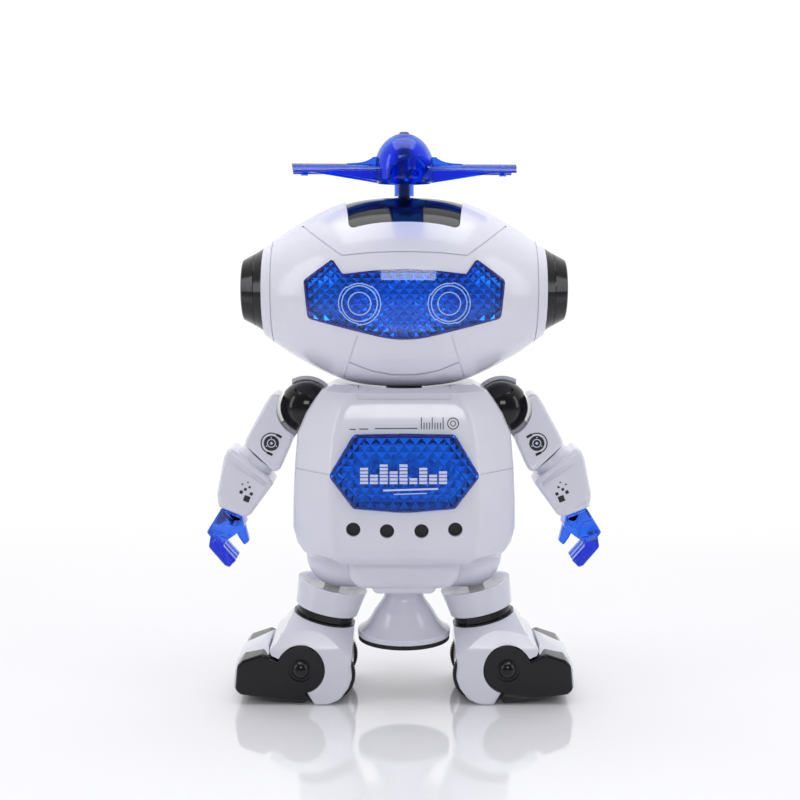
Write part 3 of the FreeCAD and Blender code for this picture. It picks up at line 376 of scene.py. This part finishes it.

# ---------------------------------------------------------------- printed marks and painted lens-border shade
b_visor, b_chest, b_torso = tree("visor_lens"), tree("chest_lens"), tree("torso_front_shell")
for s, g in SIDES:
    cx, cz = g * 18.4, 176.8
    k = 0 if g < 0 else 25
    marks = ring(cx, cz, 4.45, 4.9) + ring(cx, cz, 7.1, 7.55)
    for a0, a1, r in ((-20 + k, 55 + k, 8.9), (55 + k, 128 + k, 8.45), (128 + k, 205 + k, 8.9), (205 + k, 265 + k, 8.45), (265 + k, 340 + k, 8.9)):
        marks += ring(cx, cz, r - 0.42, r, a0, a1)
    for a in (-20, 55, 128, 205, 265):
        a += k
        marks += stroke([(cx + 8.05 * math.cos(math.radians(a)), cz + 8.05 * math.sin(math.radians(a))), (cx + 8.9 * math.cos(math.radians(a)), cz + 8.9 * math.sin(math.radians(a)))], 0.42)
    decal("eye_rings_" + s, marks, b_visor, M["print_pale"], "head", thick=0.06)
# Painted shade: a dark blue band just inside the visor and chest lens outlines stands in for the darker look of the
# lens side walls
decal("visor_edge_painted_shade", inset_band(visor, 0.25, 0.85), b_visor, M["lens_edge_painted_shade"], "head", thick=0.05)
decal("chest_lens_edge", inset_band(chest, 0.3, 1.45), b_chest, M["lens_edge_painted_shade"], "torso", thick=0.05)
blocks = []
for i, hgt in enumerate((5, 3, 6, 4, 6, 2, 5, 3, 4)):
    x = -18.6 + i * 4.15
    for j in range(hgt):
        blocks += bar(x, 100.9 + j * 1.45, x + 3.35, 100.9 + j * 1.45 + 1.05, 1.7)
decal("chest_level_bars", blocks, b_chest, M["print_white"], "torso", thick=0.06)
decal("chest_underline", stroke([(-8.9, 98.2), (14.2, 98.9)], 0.7) + stroke([(-4.5, 96.6), (9.5, 97.0)], 0.35), b_chest, M["print_white"], "torso", thick=0.06)
lines = stroke([(-23.1, 123.6), (-20.4, 123.6)], 0.42) + stroke([(-19.0, 123.7), (-15.2, 123.7)], 0.42) + stroke([(-12.4, 123.9), (5.6, 124.0)], 0.42)
for i in range(9):
    lines += stroke([(7.2 + i * 1.15, 123.6), (7.2 + i * 1.15, 126.4 if i % 4 else 128.6)], 0.38)
lines += ring(20.6, 126.0, 2.1, 2.5, n=40) + ring(20.6, 126.0, 0.9, 1.25, n=30)
decal("torso_scale_marks", lines, b_torso, M["print_black"], "torso", thick=0.05)

for s, g in SIDES:
    bu, bf = tree("upper_arm_" + s), tree("forearm_" + s)
    cx, cz = g * 58.24, 114.63
    marks = disc(cx, cz, 3.35)
    a = (60, 245) if g < 0 else (-65, 120)
    marks += ring(cx, cz, 4.25, 4.75, *a)
    for e in a:
        ux, uz = math.cos(math.radians(e)), math.sin(math.radians(e))
        t = 1 if e == a[1] else -1
        marks += stroke([(cx + 4.5 * ux, cz + 4.5 * uz), (cx + 4.5 * ux - t * uz * 2.6, cz + 4.5 * uz + t * ux * 2.6)], 1.15)
    decal("arm_badge_" + s, marks, bu, M["print_black"], "arm_" + s)
    pale = ring(cx, cz, 1.55, 1.95, n=40) + disc(cx, cz, 0.6, 24)
    for q in range(3):
        an = math.radians(90 + 120 * q)
        pale += disc(cx + 2.5 * math.cos(an), cz + 2.5 * math.sin(an), 0.28, 16)
    decal("arm_badge_dots_" + s, pale, bu, M["print_white"], "arm_" + s, lift=-0.03, thick=0.11)
    sq = []
    for x, z, w in ((69.28, 90.1, 2.7), (71.66, 93.09, 1.45), (67.23, 92.29, 1.35), (69.8, 94.3, 1.2), (67.9, 95.28, 0.95), (71.09, 96.57, 0.7), (68.62, 97.42, 0.65)):
        sq += square(g * x, z, w, -g * -22)
    decal("forearm_squares_" + s, sq, bf, M["print_black"], "fore_" + s)
    rib = [(g * 75.2, 105.6), (g * 71.5, 102.6), (g * 60.6, 94.9)]
    decal("forearm_rib_" + s, stroke(rib, 0.55), bf, M["white_shell"], "fore_" + s, lift=0.1, thick=0.28)

# ---------------------------------------------------------------- stage, light, camera
scene = bpy.context.scene
scene.view_settings.view_transform = "Standard"
m, nt, b = new_mat("studio_floor")
co = nt.nodes.new("ShaderNodeTexCoord").outputs["Object"]
n1 = noise(nt, 3.0, 3, 0.5, co)
link(nt, mix_col(nt, n1.outputs["Fac"], (0.80, 0.80, 0.835), (0.83, 0.83, 0.86)), b.inputs["Base Color"])
n2 = noise(nt, 40.0, 3, 0.5, co)
link(nt, ramp(nt, n2.outputs["Fac"], 0.05, 0.09), b.inputs["Roughness"])
b.inputs["Specular IOR Level"].default_value = 0.5
b.inputs["IOR"].default_value = 1.9
bpy.ops.mesh.primitive_plane_add(size=14.0, location=(0, 3.0, 0))
floor = bpy.context.object
floor.name = "studio_floor"
em = nt.nodes.new("ShaderNodeEmission")
em.inputs["Color"].default_value = (1.0, 1.0, 1.0, 1)
em.inputs["Strength"].default_value = 1.02
geo = nt.nodes.new("ShaderNodeNewGeometry")
sp = nt.nodes.new("ShaderNodeSeparateXYZ")
link(nt, geo.outputs["Position"], sp.inputs[0])
fade = nt.nodes.new("ShaderNodeMapRange")
fade.interpolation_type = "SMOOTHSTEP"
fade.inputs["From Min"].default_value, fade.inputs["From Max"].default_value = 0.03, 0.50
link(nt, sp.outputs["Y"], fade.inputs["Value"])
mx = nt.nodes.new("ShaderNodeMixShader")
link(nt, fade.outputs["Result"], mx.inputs[0])
link(nt, b.outputs[0], mx.inputs[1]); link(nt, em.outputs[0], mx.inputs[2])
link(nt, mx.outputs[0], nt.nodes["Material Output"].inputs["Surface"])
floor.data.materials.append(m)

w = bpy.data.worlds.new("studio")
scene.world = w
w.use_nodes = True
wt = w.node_tree
bg = wt.nodes["Background"]
tc = wt.nodes.new("ShaderNodeTexCoord")
sx = wt.nodes.new("ShaderNodeSeparateXYZ")
wt.links.new(tc.outputs["Generated"], sx.inputs[0])
mr = wt.nodes.new("ShaderNodeMapRange")
mr.inputs["From Min"].default_value, mr.inputs["From Max"].default_value = -0.7, 0.5
mr.inputs["To Min"].default_value, mr.inputs["To Max"].default_value = 0.24, 1.05
wt.links.new(sx.outputs["Y"], mr.inputs["Value"])
wt.links.new(mr.outputs["Result"], bg.inputs["Strength"])
bg.inputs["Color"].default_value = (1.0, 1.0, 1.0, 1)

def area(name, loc, target, sx_, sy_, lum, col=(1, 1, 1)):
    d = bpy.data.lights.new(name, "AREA")
    d.shape = "RECTANGLE"; d.size = sx_; d.size_y = sy_
    d.energy = lum * math.pi * sx_ * sy_
    d.color = col
    o = bpy.data.objects.new(name, d)
    scene.collection.objects.link(o)
    o.location = loc
    o.rotation_mode = "QUATERNION"
    o.rotation_quaternion = (Vector(target) - Vector(loc)).to_track_quat("-Z", "Y")
    o.visible_camera = False
    return o
area("top_softbox", (0.0, -0.05, 0.95), (0, 0, 0.15), 0.9, 0.6, 2.3)
area("front_top_box", (0.03, -0.69, 0.44), (0, 0, 0.18), 0.28, 0.17, 5.5)
area("left_strip", (-0.85, -0.35, 0.45), (0, 0, 0.12), 0.18, 0.7, 2.8, (0.95, 0.96, 1.0))
area("right_strip", (0.85, -0.35, 0.45), (0, 0, 0.12), 0.18, 0.7, 2.4, (0.95, 0.96, 1.0))

cam = bpy.data.cameras.new("camera")
cam.lens, cam.sensor_width = 57.15, 36.0
cam.clip_start, cam.clip_end = 0.01, 50
co_ = bpy.data.objects.new("camera", cam)
scene.collection.objects.link(co_)
co_.location = (-0.0018, -0.562, 0.1942)
co_.rotation_euler = (math.radians(90 - 6.25), 0, 0)
scene.camera = co_
